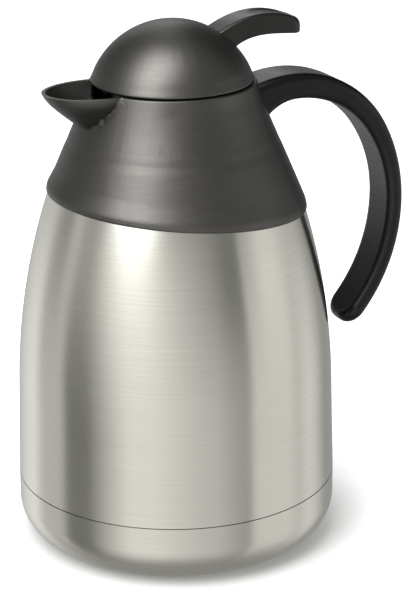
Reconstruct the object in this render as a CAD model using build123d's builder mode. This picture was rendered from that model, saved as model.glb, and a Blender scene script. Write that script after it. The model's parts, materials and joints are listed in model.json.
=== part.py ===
from build123d import *
import os
from math import cos, radians, sin, sqrt, tan

# Vacuum carafe with a screw-in pouring stopper that a thumb lever opens.
# Lengths are in millimetres and angles in degrees. +Z is up, the spout points along -X and the
# handle along +X. The origin is the centre of the steel ring that the carafe stands on.

# Fits
slip = 0.15          # between fixed pieces that slide together
rotating = 0.4       # between the thread parts, and round the stopper
screw_fit = 0.05     # round screws, pins and the valve stem
flat_fit = 0.3       # between the rim and the dome, and beside moving flanks

# Steel vessel
steel_t = 0.6        # sheet thickness of every steel wall
body_r = 69.95       # outside of the wall at the seam
seam_z = 28.8        # seam between the wall and the base cup
seam_gap = 0.45      # width of the seam groove
wall_lean = 1.6      # angle that the straight wall leans inwards
waist_z = 72.0       # top of the straight wall
shoulder_r = 52.6    # end of the shoulder curve, under the collar
shoulder_z = 160.0
shoulder_rise = 12.5     # from the shoulder to the foot of the neck
shoulder_bend = 9.0
neck_r = 32.6        # outside of the steel neck
neck_bend = 4.0
lip_rise = 26.3      # from the shoulder to the lip of the mouth
rest_out_r = 52.7    # ring that the carafe stands on
rest_in_r = 45.0
foot_rise = 3.0      # hollow under the base
floor_z = 13.0       # outside of the vacuum floor
floor_bend = 12.0
band_rise = 4.0      # vacuum floor's rim, above the seam
liner_gap = 5.0      # vacuum beside the liner
liner_lift = 5.4     # vacuum under the liner
liner_bend = 14.0
neck_gap = 2.0       # vacuum between the two necks
seal_hole_r = 1.5    # hole that the air is drawn out through
seal_bead_r = 3.4
seal_bead_h = 1.3
getter_r = 6.0
getter_h = 1.6
getter_x = 26.0

# Collar with the spout
rim_rise = 17.7      # from the steel lip to the collar's rim
rim_t = 2.6          # between the bowl and the rim's outside
collar_mid_out = 4.5     # upper cone half way, beyond the rim
collar_mid_drop = 13.2
crease_out = 10.1    # collar's crease, beyond the rim
crease_drop = 25.2
crease_step = 0.5    # the lower cone stands out of the upper one
crease_step_h = 1.1
crease_round = 5.0
skirt_mid_in = 1.0   # lower cone half way, inside the end of the steel shoulder's curve
skirt_mid_drop = 40.2
skirt_out = 5.7      # lower cone run on to below the edge, beyond the shoulder's curve
skirt_drop = 56.0
collar_t = 2.3       # wall of the collar
edge_drop = 51.4     # collar's lower edge below the rim, on the centre line
edge_slope = 0.087   # the edge climbs towards the spout
edge_h = 2.2         # upright band above the edge
edge_wall = 0.6      # the band stands out of the steel
edge_blend_h = 7.0   # height over which the cone runs out to it
throat_out = 0.4     # bowl inside the rim, beyond the steel neck
throat_t = 2.0
throat_skirt = 10.0  # how far the throat tube reaches down the steel neck
cavity_drop = 9.5    # top of the space between throat and skin, below the rim
web_t = 2.0          # flange that the collar sits on the neck with
rim_round = 0.8
spout_in = 1.6       # centre of the spout's ellipses, inside the rim
spout_depths = (0.0, 6.0, 10.0, 13.6, 17.2)
spout_reaches = (24.2, 19.7, 15.2, 10.8, 4.5)
spout_half_widths = (17.8, 15.6, 12.8, 10.3, 5.5)
spout_rim_t = 1.3
spout_wall_t = 2.2
boss_half_w = 7.0    # block behind the rim that the handle is screwed to
boss_top_drop = 2.0
boss_h = 13.0
trough_sill = 0.7    # trough's floor above the throat ring
trough_round = 2.5
rim_clear = 0.4      # cuts run this far past the rim
screw_sink = 0.4     # handle screws' heads, below the bowl's wall

# Gasket on the steel lip
neck_gasket_h = 1.0

# Throat ring, which holds the collar on the neck and carries the stopper's thread
ring_flange_t = 2.0
ring_t = 1.7         # wall of its tube
ring_length = 13.8   # below its flange
seat_lip_t = 2.0     # inward lip at its foot, which the stopper seals on
seat_lip_w = 3.2
thread_starts = 3
thread_lead = 24.0   # rise for one turn
thread_arc = 70.0    # angle that one thread covers
thread_h = 1.6
thread_bite = 1.0    # how far a thread stands out of its wall
thread_sill = 0.7    # lowest thread above the stopper's shoulder
thread_play = 0.35

# Stopper
stopper_wall_t = 1.6
stopper_depth = 44.0     # from the rim to its bottom
foot_play = 1.0      # round the part below the gasket, inside the seat lip
stopper_floor_drop = 12.2    # top of the chamber's floor, below the rim
stopper_floor_t = 1.8
flow_r = 11.0        # inside of the flow tube
window_w = 16.0
window_h = 7.5
window_sill = 1.7    # above the chamber's floor
boss_r = 3.6
cap_t = 2.0          # base cap of the stopper
seat_r = 6.5         # hole of the valve seat
seat_w = 1.4
seat_h = 0.8
spigot_t = 1.4
spigot_h = 3.0
gasket_w = 2.4

# Dome and the plate under it
dome_out = 1.28      # half width of the dome's ellipse, beyond the rim
dome_h = 37.67       # half height of the dome's ellipse
dome_centre_drop = 11.8  # its centre below the rim
dome_t = 2.2
dome_gap = 0.4       # line between the dome and the rim
dome_edge_round = 0.7
plate_t = 2.4
plate_sink = 0.8     # underside of the plate below the rim
hub_r = 7.0
hub_h = 4.0
seal_w = 2.0
seal_h = 1.8

# Screws
screw_r = 1.25
screw_head_r = 2.3
screw_head_h = 1.6
screw_length = 8.0
screw_slot_w = 0.8
plate_screw_in = 5.0     # screws' circle inside the stopper's wall
dome_screw_in = 7.58     # and inside the dome's ellipse
post_r = 3.0

# Valve
stem_r = 2.5
seal_disc_r = 8.5
seal_disc_h = 3.0
stem_button_r = 4.2
stem_button_h = 1.5
stem_flange_r = 6.0
stem_flange_h = 1.3
spring_seat_lift = 18.0  # spring's foot above the stem's flange
spring_seat_r = 7.0
spring_seat_h = 1.5
spring_r = 5.6       # middle of the wire
spring_wire_r = 0.5
spring_turns = 6.5
yoke_r = 5.8         # disc that the lever lifts
yoke_h = 1.8
yoke_gap = 0.15
nut_flats = 5.5
nut_h = 2.0
stem_end = 1.0       # stem's end above its nut

# Thumb lever
pivot_in = 15.88     # pivot inside the dome's ellipse
pivot_rise = 7.0     # and above the rim
pin_r = 1.5
lever_half_w = 7.0
ear_t = 2.2
ear_r = 3.6
slot_side = 0.6      # room beside the lever in the dome's slot
ear_side = 0.5       # and between the plate's ears
nose_r = 1.5         # rounded end of each fork arm
nose_drop = 2.5      # nose centre below the pivot
fork_gap = 0.8       # between a fork arm and the stem
fork_t = 2.0
hub_lever_r = 3.6
drum_play = 0.3      # between the lever's drum and the dome
guard_r = 10.9       # curved guard that closes the slot's front end
guard_t = 1.5
guard_start = 97.0
guard_arc = 31.0
arm_elbow = (-13.5, -3.2, 1.6)
slot_front = 3.4     # front of the slot, ahead of the pivot
slot_foot_rise = 7.9     # slot's lower end above the rim
crown_round = 3.8    # along the blade's upper edges
under_round = 0.9    # along its lower edges
tip_round = 4.2
scoop_r = 14.0       # round bar that the thumb rest is scooped with
scoop_depth = 1.2    # below the chord between the crown's third and fourth points
# Crown and underside of the blade, from the pivot
crown_points = ((-2.3, 12.9), (7.0, 17.1), (17.5, 18.9), (28.0, 17.9), (37.3, 14.3))
under_points = ((37.3, 8.6), (24.5, 9.5), (15.0, 9.2), (6.5, 6.3))

# Handle
strap_half_w = 10.5
strap_round = 3.4
strap_end_round = 8.5
handle_screw_drops = (5.5, 11.0)

# Handle, a strap bent from arcs, measured from the outermost point of its back
grip_out = 38.55     # back of the handle beyond the steel wall
grip_drop = 64.7     # outermost point below the rim
strap_t = 7.5
grip_up_r = 75.0
grip_up_arc = 28.0
top_r = 53.0
top_arc = 80.6
grip_down_r = 79.75
grip_down_arc = 46.5
palm_up_r = 58.5
palm_up_arc = 36.0
palm_top_r = 42.5
root_r = 20.0
root_arc = 50.0
root_depth = 5.0     # the strap runs on to this far inside the rim before it is cut to the cone
handle_screw_length = 12.0
screw_hole_end = 1.0  # holes run on past the screws

# Heights that follow from the sizes above
throat_r = neck_r + throat_out
rim_r = throat_r + rim_t
collar_mid_r = rim_r + collar_mid_out
crease_r = rim_r + crease_out
skirt_mid_r = shoulder_r - skirt_mid_in
skirt_r = shoulder_r + skirt_out
spout_centre = rim_r - spout_in
dome_r = rim_r + dome_out
lip_z = shoulder_z + lip_rise
rim_z = lip_z + rim_rise
lean = tan(radians(wall_lean))
cup_top_z = seam_z - seam_gap / 2
shell_foot_z = seam_z + seam_gap / 2
liner_floor_z = floor_z + steel_t + liner_lift
web_z = lip_z + neck_gasket_h
ring_top_z = web_z + web_t + ring_flange_t
ring_foot_z = web_z + web_t - ring_length
seal_z = ring_foot_z + seat_lip_t
liner_neck_r = neck_r - steel_t - neck_gap
mouth_r = liner_neck_r - steel_t
ring_bore_r = mouth_r - 2 * slip - ring_t
ring_thread_r = ring_bore_r - thread_bite
stopper_r = ring_thread_r - rotating
stopper_thread_r = ring_bore_r - rotating
stopper_foot_r = ring_bore_r - seat_lip_w - foot_play
plate_screw_ring = stopper_r - plate_screw_in
dome_screw_ring = dome_r - dome_screw_in
stopper_foot_z = rim_z - stopper_depth + cap_t
stopper_inner_r = stopper_foot_r - stopper_wall_t
shoulder_top_z = seal_z + gasket_w
chamber_z = rim_z - stopper_floor_drop
tube_out_r = flow_r + stopper_wall_t
plate_z = rim_z - plate_sink
plate_top_z = plate_z + plate_t
hub_foot_z = plate_z - hub_h
dome_centre_z = rim_z - dome_centre_drop
dome_foot_z = rim_z + dome_gap
plate_share = (plate_top_z - dome_centre_z) / (dome_h - dome_t)
plate_r = min((dome_r - dome_t) * sqrt(1 - plate_share**2), throat_r) - slip
pivot_x = dome_r - pivot_in
pivot_z = rim_z + pivot_rise
slot_foot_z = rim_z + slot_foot_rise
slot_share = (slot_foot_z - dome_centre_z) / (dome_h - dome_t)
slot_wall_r = (dome_r - dome_t) * sqrt(1 - slot_share**2)
drum_r = sqrt(slot_wall_r**2 - lever_half_w**2) - pivot_x - drum_play
stem_hole_r = stem_r + screw_fit
seat_top_z = stopper_foot_z + seat_h
stem_flange_z = seat_top_z + seal_disc_h
spring_foot_z = stem_flange_z + spring_seat_lift
nose_z = pivot_z - nose_drop
yoke_z = nose_z + nose_r + yoke_gap
ear_inner_y = lever_half_w + ear_side
throat_out_r = throat_r + throat_t
edge_z = rim_z - edge_drop
screw_angles = (60, 180, 300)
grip_x = body_r + grip_out
grip_z = rim_z - grip_drop
stopper_thread_z = shoulder_top_z + thread_sill
ring_thread_z = stopper_thread_z + thread_h + thread_play

os.makedirs("parts", exist_ok=True)


def save(piece, name):
    """Label one finished piece and write its file."""
    piece.label = name
    export_step(piece, f"parts/{name}.step")


def vessel_section(inset, foot_z, top_z, neck):
    """Half section of the vessel: leaning wall, shoulder curve and neck, filled to the axis."""
    waist_r = body_r - (waist_z - seam_z) * lean - inset
    foot_r = waist_r + (waist_z - foot_z) * lean
    shoulder = (shoulder_r - inset, shoulder_z - inset)
    neck_foot = (neck, shoulder_z + shoulder_rise - inset)
    with BuildSketch(Plane.XZ) as section:
        with BuildLine():
            wall = Line((foot_r, foot_z), (waist_r, waist_z))
            curve = TangentArc(wall @ 1, shoulder, tangent=wall % 1)
            Polyline(curve @ 1, neck_foot, (neck, top_z), (0, top_z), (0, foot_z), wall @ 0)
        make_face()
        fillet(section.vertices().sort_by_distance(shoulder)[0], shoulder_bend)
        fillet(section.vertices().sort_by_distance(neck_foot)[0], neck_bend)
    return section.sketch


def collar_section(inset, low_drop):
    """Half section of the collar's skin, filled to the axis: two curved cones with a soft step between."""
    low_z = rim_z - low_drop
    with BuildSketch(Plane.XZ) as section:
        with BuildLine():
            rim = (rim_r - inset, rim_z)
            step_top = (crease_r - crease_step - inset, rim_z - crease_drop)
            step_foot = (crease_r - inset, rim_z - crease_drop - crease_step_h)
            skirt_foot = (skirt_r - inset, rim_z - skirt_drop)
            ThreePointArc(rim, (collar_mid_r - inset, rim_z - collar_mid_drop), step_top)
            Line(step_top, step_foot)
            ThreePointArc(step_foot, (skirt_mid_r - inset, rim_z - skirt_mid_drop), skirt_foot)
            Polyline(skirt_foot, (0, rim_z - skirt_drop), (0, rim_z), rim)
        make_face()
        for corner in (step_top, step_foot):
            fillet(section.vertices().sort_by_distance(corner)[0], crease_round)
        with Locations((0, low_z)):
            Rectangle(4 * skirt_r, skirt_drop, align=(Align.CENTER, Align.MAX), mode=Mode.SUBTRACT)
    return section.sketch


def thread_set(radius_in, radius_out, low_z):
    """Helical threads, evenly spaced round the axis, each a bar swept up the same quick lead."""
    rise = thread_lead * thread_arc / 360
    middle_r = (radius_in + radius_out) / 2
    with BuildPart() as threads:
        with BuildLine() as path:
            Helix(pitch=thread_lead, height=rise, radius=middle_r, center=(0, 0, low_z + thread_h / 2))
        with BuildSketch(Plane(path.line @ 0, x_dir=(1, 0, 0), z_dir=path.line % 0)):
            Rectangle(radius_out - radius_in, thread_h)
        bar = sweep(path=path.line, is_frenet=True, mode=Mode.PRIVATE)
        with PolarLocations(0, thread_starts):
            add(bar)
    return threads.part


def pan_screw(height):
    """A pan-head screw that points up from z = 0, with a driver slot in its head below."""
    with BuildPart() as screw:
        Cylinder(screw_head_r, screw_head_h, align=(Align.CENTER, Align.CENTER, Align.MAX))
        fillet(screw.edges().sort_by(Axis.Z)[0], screw_head_h * 0.4)
        Cylinder(screw_r, height, align=(Align.CENTER, Align.CENTER, Align.MIN))
        chamfer(screw.edges().sort_by(Axis.Z)[-1], screw_r * 0.4)
        with Locations((0, 0, -screw_head_h)):
            Box(2.4 * screw_head_r, screw_slot_w, screw_head_h, mode=Mode.SUBTRACT)
    return screw.part


# ---- Steel vessel ----

with BuildPart() as outer_shell:
    revolve(vessel_section(0, shell_foot_z, lip_z - steel_t, neck_r), axis=Axis.Z)
    ends = outer_shell.faces().filter_by(Axis.Z).sort_by(Axis.Z)
    offset(amount=-steel_t, openings=[ends[0], ends[-1]])

with BuildPart() as inner_liner:
    revolve(vessel_section(steel_t + liner_gap, liner_floor_z, lip_z, liner_neck_r), axis=Axis.Z)
    fillet(inner_liner.edges().group_by(Axis.Z)[0], liner_bend)
    offset(amount=-steel_t, openings=inner_liner.faces().sort_by(Axis.Z)[-1])
    with BuildSketch(Plane.XY.offset(lip_z - steel_t)):
        Circle(neck_r)
        Circle(liner_neck_r - steel_t / 2, mode=Mode.SUBTRACT)
    extrude(amount=steel_t)

band_r = body_r - steel_t - slip - band_rise * lean
with BuildPart() as vacuum_floor:
    with BuildSketch(Plane.XY.offset(floor_z)):
        Circle(band_r)
    extrude(amount=seam_z + band_rise - floor_z)
    fillet(vacuum_floor.edges().sort_by(Axis.Z)[0], floor_bend)
    offset(amount=-steel_t, openings=vacuum_floor.faces().sort_by(Axis.Z)[-1])
    with Locations((0, 0, floor_z)):
        Cylinder(seal_hole_r, 4 * steel_t, mode=Mode.SUBTRACT)

with BuildPart() as vacuum_seal:
    with Locations((0, 0, floor_z)):
        Cylinder(seal_bead_r, seal_bead_h, align=(Align.CENTER, Align.CENTER, Align.MAX))
        fillet(vacuum_seal.edges().sort_by(Axis.Z)[0], seal_bead_h * 0.8)
        Cylinder(seal_hole_r - screw_fit, steel_t, align=(Align.CENTER, Align.CENTER, Align.MIN))

with BuildPart() as getter:
    with Locations((getter_x, 0, floor_z + steel_t)):
        Cylinder(getter_r, getter_h, align=(Align.CENTER, Align.CENTER, Align.MIN))
    chamfer(getter.edges().sort_by(Axis.Z)[-1], getter_h * 0.2)

with BuildPart() as base_cup:
    with BuildSketch(Plane.XZ) as cup_section:
        with BuildLine():
            Polyline(
                (0, foot_rise),
                (rest_in_r - foot_rise, foot_rise),
                (rest_in_r, 0),
                (body_r, 0),
                (body_r, cup_top_z),
                (0, cup_top_z),
                close=True,
            )
        make_face()
        fillet(cup_section.vertices().sort_by_distance((body_r, 0))[0], body_r - rest_out_r)
        hollow_corner = (rest_in_r - foot_rise, foot_rise)
        fillet(cup_section.vertices().sort_by_distance(hollow_corner)[0], foot_rise / 2)
    revolve(axis=Axis.Z)
    offset(amount=-steel_t, openings=base_cup.faces().sort_by(Axis.Z)[-1])

# ---- Collar with the spout ----


def interpolate(depth, sizes):
    """A spout size at a depth, on straight lines between the given depths."""
    for upper in range(len(spout_depths) - 1):
        if depth <= spout_depths[upper + 1]:
            break
    span = spout_depths[upper + 1] - spout_depths[upper]
    share = (depth - spout_depths[upper]) / span
    return sizes[upper] + (sizes[upper + 1] - sizes[upper]) * share


def spout_ellipses(depths, rim_inset, wall_inset, lift):
    """The stacked ellipses that the spout is lofted through, from its top down."""
    faces = []
    for depth in depths:
        reach = interpolate(depth, spout_reaches)
        half_width = interpolate(depth, spout_half_widths)
        inset = rim_inset if depth == depths[0] else wall_inset
        height = rim_z - depth + (lift if depth == depths[0] else 0)
        with BuildSketch(Plane((-spout_centre, 0, height))) as ellipse:
            Ellipse(reach - inset, half_width - inset)
        faces.append(ellipse.sketch)
    return faces


trough_depth = rim_z - ring_top_z - trough_sill
trough_steps = (0.0, spout_depths[1], trough_depth - trough_round, trough_depth)
edge_plane = Plane((0, 0, edge_z), z_dir=(edge_slope, 0, 1))
blend_plane = Plane((0, 0, edge_z + edge_h + edge_blend_h), z_dir=(edge_slope, 0, 1))
handle_screw_zs = [rim_z - drop for drop in handle_screw_drops]
screw_head_x = throat_r + screw_sink + screw_head_h

with BuildPart() as spout_body:
    loft(spout_ellipses(spout_depths, 0, 0, 0))

with BuildPart() as trough:
    loft(spout_ellipses(trough_steps, spout_rim_t, spout_wall_t, rim_clear))

with BuildPart() as screw_boss:
    with Locations((throat_r + throat_t / 2, 0, rim_z - boss_top_drop)):
        Box(crease_r - throat_r, 2 * boss_half_w, boss_h, align=(Align.MIN, Align.CENTER, Align.MAX))
    revolve(collar_section(collar_t / 2, skirt_drop), axis=Axis.Z, mode=Mode.INTERSECT)

with BuildPart() as wide_shoulder:
    revolve(vessel_section(-edge_wall, floor_z, lip_z, neck_r), axis=Axis.Z)
    split(bisect_by=edge_plane, keep=Keep.TOP)

with BuildPart() as edge_band:
    band_foot = wide_shoulder.faces().filter_by(GeomType.PLANE).sort_by(Axis.Z)[0]
    extrude(band_foot, amount=edge_h, dir=(0, 0, 1))

with BuildPart() as collar:
    revolve(collar_section(0, skirt_drop), axis=Axis.Z)
    split(bisect_by=blend_plane, keep=Keep.TOP)
    # Run the cone out to the upright band at its lower edge
    cone_foot = collar.faces().filter_by(GeomType.PLANE).sort_by(Axis.Z)[0]
    loft([cone_foot, edge_band.faces().filter_by(GeomType.PLANE).sort_by(Axis.Z)[-1]])
    add(edge_band.part)
    fillet(collar.edges().group_by(Axis.Z)[-1], rim_round)
    # Hollow the skin, leaving a throat tube inside and room for the steel shoulder
    with BuildSketch(Plane.XZ):
        add(Plane.XZ.to_local_coords(collar_section(collar_t, skirt_drop)))
        with Locations((0, rim_z - cavity_drop)):
            Rectangle(4 * skirt_r, skirt_drop, align=(Align.CENTER, Align.MIN), mode=Mode.SUBTRACT)
        Rectangle(2 * throat_out_r, 4 * rim_z, mode=Mode.SUBTRACT)
    revolve(axis=Axis.Z, mode=Mode.SUBTRACT)
    steel_room = vessel_section(-slip, floor_z, lip_z - throat_skirt, neck_r + slip)
    revolve(steel_room, axis=Axis.Z, mode=Mode.SUBTRACT)
    add(spout_body.part)
    add(screw_boss.part)
    with BuildSketch(Plane.XY.offset(lip_z - throat_skirt)):
        Circle(neck_r + 2 * slip)
    extrude(amount=web_z - lip_z + throat_skirt, mode=Mode.SUBTRACT)
    with BuildSketch(Plane.XY.offset(web_z)):
        Circle(liner_neck_r)
    extrude(amount=rim_z - web_z, mode=Mode.SUBTRACT)
    with BuildSketch(Plane.XY.offset(web_z + web_t)):
        Circle(throat_r)
    extrude(amount=rim_z - web_z - web_t, mode=Mode.SUBTRACT)
    add(trough.part, mode=Mode.SUBTRACT)
    for screw_z in handle_screw_zs:
        with Locations(Plane((throat_r, 0, screw_z), z_dir=(1, 0, 0))):
            head_depth = screw_sink + screw_head_h
            Cylinder(screw_head_r + slip, 2 * head_depth, mode=Mode.SUBTRACT)
            Cylinder(screw_r + slip, 4 * collar_t + 2 * boss_h, mode=Mode.SUBTRACT)

with BuildPart() as neck_gasket:
    with BuildSketch(Plane.XY.offset(lip_z)):
        Circle(neck_r)
        Circle(liner_neck_r, mode=Mode.SUBTRACT)
    extrude(amount=neck_gasket_h)
    fillet(neck_gasket.edges(), neck_gasket_h * 0.2)

with BuildPart() as throat_ring:
    with BuildSketch(Plane.XZ):
        with BuildLine():
            Polyline(
                (ring_bore_r, ring_top_z),
                (throat_r - slip, ring_top_z),
                (throat_r - slip, ring_top_z - ring_flange_t),
                (ring_bore_r + ring_t, ring_top_z - ring_flange_t),
                (ring_bore_r + ring_t, ring_foot_z),
                (ring_bore_r - seat_lip_w, ring_foot_z),
                (ring_bore_r - seat_lip_w, seal_z),
                (ring_bore_r, seal_z),
                close=True,
            )
        make_face()
    revolve(axis=Axis.Z)
    chamfer(throat_ring.edges().group_by(Axis.Z)[-1].sort_by(SortBy.LENGTH)[0], ring_flange_t * 0.4)
    add(thread_set(ring_thread_r, ring_bore_r + ring_t / 2, ring_thread_z))

# ---- Handle ----


def run_on(curve, x):
    """Line that carries straight on from a curve's end to x, and at least root_depth further in."""
    end = curve @ 1
    heading = curve % 1
    length = max((x - end.X) / heading.X, root_depth)
    return Line(end, end + heading * length)


with BuildPart() as handle:
    with BuildSketch(Plane.XZ):
        with BuildLine():
            outer_knee = JernArc((grip_x, grip_z), (0, 1), grip_up_r, grip_up_arc)
            outer_top = JernArc(outer_knee @ 1, outer_knee % 1, top_r, top_arc)
            outer_tail = JernArc((grip_x, grip_z), (0, -1), grip_down_r, -grip_down_arc)
            inner_start = (grip_x - strap_t, grip_z)
            inner_knee = JernArc(inner_start, (0, 1), palm_up_r, palm_up_arc)
            inner_top = JernArc(inner_knee @ 1, inner_knee % 1, palm_top_r, 90 - palm_up_arc)
            inner_root = JernArc(inner_top @ 1, inner_top % 1, root_r, root_arc)
            inner_tail = JernArc(inner_start, (0, -1), grip_down_r - strap_t, -grip_down_arc)
            outer_run = run_on(outer_top, rim_r - root_depth)
            inner_run = run_on(inner_root, rim_r - root_depth)
            Line(outer_tail @ 1, inner_tail @ 1)
            Line(outer_run @ 1, inner_run @ 1)
        make_face()
    extrude(amount=strap_half_w, both=True)
    end_corners = handle.edges().filter_by(lambda edge: edge.length < 2 * strap_t).group_by(Axis.Z)[0]
    fillet(end_corners.filter_by(Axis.Y, reverse=True), strap_end_round)
    flanks = handle.faces().filter_by(Axis.Y).edges()
    fillet(flanks.filter_by(lambda edge: edge.length > strap_t), strap_round)
    revolve(collar_section(-slip / 2, skirt_drop), axis=Axis.Z, mode=Mode.SUBTRACT)
    hole_length = 2 * (handle_screw_length + screw_hole_end)
    for screw_z in handle_screw_zs:
        with Locations(Plane((screw_head_x, 0, screw_z), z_dir=(1, 0, 0))):
            Cylinder(screw_r + screw_fit, hole_length, mode=Mode.SUBTRACT)

with BuildPart() as handle_screws:
    for screw_z in handle_screw_zs:
        with Locations(Plane((screw_head_x, 0, screw_z), z_dir=(1, 0, 0))):
            add(pan_screw(handle_screw_length))

# ---- Stopper ----

with BuildPart() as stopper_body:
    with BuildSketch(Plane.XZ):
        with BuildLine():
            Polyline(
                (flow_r, stopper_foot_z),
                (tube_out_r, stopper_foot_z),
                (tube_out_r, chamber_z - stopper_floor_t),
                (stopper_r - stopper_wall_t, chamber_z - stopper_floor_t),
                (stopper_r - stopper_wall_t, shoulder_top_z + stopper_wall_t),
                (stopper_inner_r, shoulder_top_z + stopper_wall_t),
                (stopper_inner_r, stopper_foot_z),
                (stopper_foot_r, stopper_foot_z),
                (stopper_foot_r, shoulder_top_z),
                (stopper_r, shoulder_top_z),
                (stopper_r, plate_z),
                (stopper_r - stopper_wall_t, plate_z),
                (stopper_r - stopper_wall_t, chamber_z),
                (flow_r, chamber_z),
                close=True,
            )
        make_face()
    revolve(axis=Axis.Z)
    add(thread_set(stopper_r - stopper_wall_t / 2, stopper_thread_r, stopper_thread_z))
    with BuildSketch(Plane.XY.offset(chamber_z)):
        with PolarLocations(plate_screw_ring, 3, start_angle=screw_angles[0]):
            Circle(boss_r)
        Circle(stopper_r - stopper_wall_t / 2, mode=Mode.INTERSECT)
    extrude(amount=plate_z - chamber_z)
    with BuildSketch(Plane.XY.offset(chamber_z + window_sill)):
        with PolarLocations(stopper_r, 3):
            Rectangle(4 * stopper_wall_t, window_w)
    extrude(amount=window_h, mode=Mode.SUBTRACT)
    with PolarLocations(plate_screw_ring, 3, start_angle=screw_angles[0]):
        with Locations((0, 0, plate_z)):
            Cylinder(screw_r + screw_fit, 2 * screw_length, mode=Mode.SUBTRACT)

with BuildPart() as stopper_foam:
    with BuildSketch(Plane.XZ):
        with BuildLine():
            Polyline(
                (tube_out_r + slip, stopper_foot_z + spigot_h + slip),
                (stopper_inner_r - slip, stopper_foot_z + spigot_h + slip),
                (stopper_inner_r - slip, shoulder_top_z + stopper_wall_t + slip),
                (stopper_r - stopper_wall_t - slip, shoulder_top_z + stopper_wall_t + slip),
                (stopper_r - stopper_wall_t - slip, chamber_z - stopper_floor_t),
                (tube_out_r + slip, chamber_z - stopper_floor_t),
                close=True,
            )
        make_face()
    revolve(axis=Axis.Z)

with BuildPart() as stopper_cap:
    with BuildSketch(Plane.XY.offset(stopper_foot_z - cap_t)):
        Circle(stopper_foot_r)
        Circle(seat_r, mode=Mode.SUBTRACT)
    extrude(amount=cap_t)
    fillet(stopper_cap.edges().group_by(Axis.Z)[0].sort_by(SortBy.LENGTH)[-1], cap_t / 2)
    with BuildSketch(Plane.XY.offset(stopper_foot_z)):
        Circle(seat_r + seat_w)
        Circle(seat_r, mode=Mode.SUBTRACT)
    extrude(amount=seat_h)
    with BuildSketch(Plane.XY.offset(stopper_foot_z)):
        Circle(stopper_inner_r - slip)
        Circle(stopper_inner_r - slip - spigot_t, mode=Mode.SUBTRACT)
    extrude(amount=spigot_h)

with BuildPart() as stopper_gasket:
    with BuildSketch(Plane.XY.offset(seal_z)):
        Circle(stopper_r - slip)
        Circle(stopper_foot_r + flat_fit, mode=Mode.SUBTRACT)
    extrude(amount=gasket_w)
    fillet(stopper_gasket.edges().group_by(Axis.Z)[0].sort_by(SortBy.LENGTH)[-1], gasket_w * 0.3)

with BuildPart() as stopper_plate:
    with BuildSketch(Plane.XY.offset(plate_z)):
        Circle(plate_r)
    extrude(amount=plate_t)
    fillet(stopper_plate.edges().group_by(Axis.Z)[0], plate_t * 0.3)
    with BuildSketch(Plane.XY.offset(hub_foot_z)):
        Circle(hub_r)
    extrude(amount=hub_h)
    for side in (-1, 1):
        ear_middle = (pivot_x, side * (ear_inner_y + ear_t / 2), pivot_z)
        with BuildSketch(Plane(ear_middle, x_dir=(1, 0, 0), z_dir=(0, -1, 0))):
            Circle(ear_r)
            Rectangle(2 * ear_r, pivot_z - plate_z - plate_t / 2, align=(Align.CENTER, Align.MAX))
        extrude(amount=ear_t / 2, both=True)
    with Locations(Plane((pivot_x, 0, pivot_z), z_dir=(0, 1, 0))):
        Cylinder(pin_r + screw_fit, 4 * stopper_r, mode=Mode.SUBTRACT)
    Cylinder(stem_hole_r, 3 * rim_z, mode=Mode.SUBTRACT)
    with Locations((0, 0, hub_foot_z)):
        Cylinder(stem_hole_r + seal_w, 2 * seal_h, mode=Mode.SUBTRACT)
    for ring_r in (plate_screw_ring, dome_screw_ring):
        with PolarLocations(ring_r, 3, start_angle=screw_angles[0]):
            with Locations((0, 0, plate_z)):
                Cylinder(screw_r + slip, 3 * plate_t, mode=Mode.SUBTRACT)

with BuildPart() as stem_seal:
    with BuildSketch(Plane.XY.offset(hub_foot_z)):
        Circle(stem_hole_r + seal_w - screw_fit)
        Circle(stem_hole_r, mode=Mode.SUBTRACT)
    extrude(amount=seal_h)

with BuildPart() as plate_screws:
    with PolarLocations(plate_screw_ring, 3, start_angle=screw_angles[0]):
        with Locations(Location((0, 0, plate_top_z), (180, 0, 0))):
            add(pan_screw(screw_length))

# ---- Dome ----


def dome_section(inset):
    """Half section of the dome's ellipse above the rim, filled to the axis."""
    with BuildSketch(Plane.XZ) as section:
        with Locations((0, dome_centre_z)):
            Ellipse(dome_r - inset, dome_h - inset)
        with Locations((0, dome_foot_z)):
            Rectangle(dome_r, dome_h, align=(Align.MIN, Align.MIN), mode=Mode.INTERSECT)
    return section.sketch


with BuildPart() as dome_posts:
    with BuildSketch(Plane.XY.offset(plate_top_z)):
        with PolarLocations(dome_screw_ring, 3, start_angle=screw_angles[0]):
            Circle(post_r)
    extrude(amount=dome_h)
    revolve(dome_section(dome_t / 2), axis=Axis.Z, mode=Mode.INTERSECT)

with BuildPart() as lid_dome:
    revolve(dome_section(0), axis=Axis.Z)
    fillet(lid_dome.edges().group_by(Axis.Z)[0], dome_edge_round)
    revolve(dome_section(dome_t), axis=Axis.Z, mode=Mode.SUBTRACT)
    add(dome_posts.part)
    with Locations((pivot_x - slot_front, 0, slot_foot_z)):
        corner = (Align.MIN, Align.CENTER, Align.MIN)
        Box(dome_r, 2 * (lever_half_w + slot_side), dome_h, align=corner, mode=Mode.SUBTRACT)
    with PolarLocations(dome_screw_ring, 3, start_angle=screw_angles[0]):
        with Locations((0, 0, plate_top_z)):
            Cylinder(screw_r + screw_fit, 2 * (screw_length - plate_t + slip), mode=Mode.SUBTRACT)

with BuildPart() as dome_screws:
    with PolarLocations(dome_screw_ring, 3, start_angle=screw_angles[0]):
        with Locations((0, 0, plate_z)):
            add(pan_screw(screw_length))

# ---- Thumb lever ----

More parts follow.
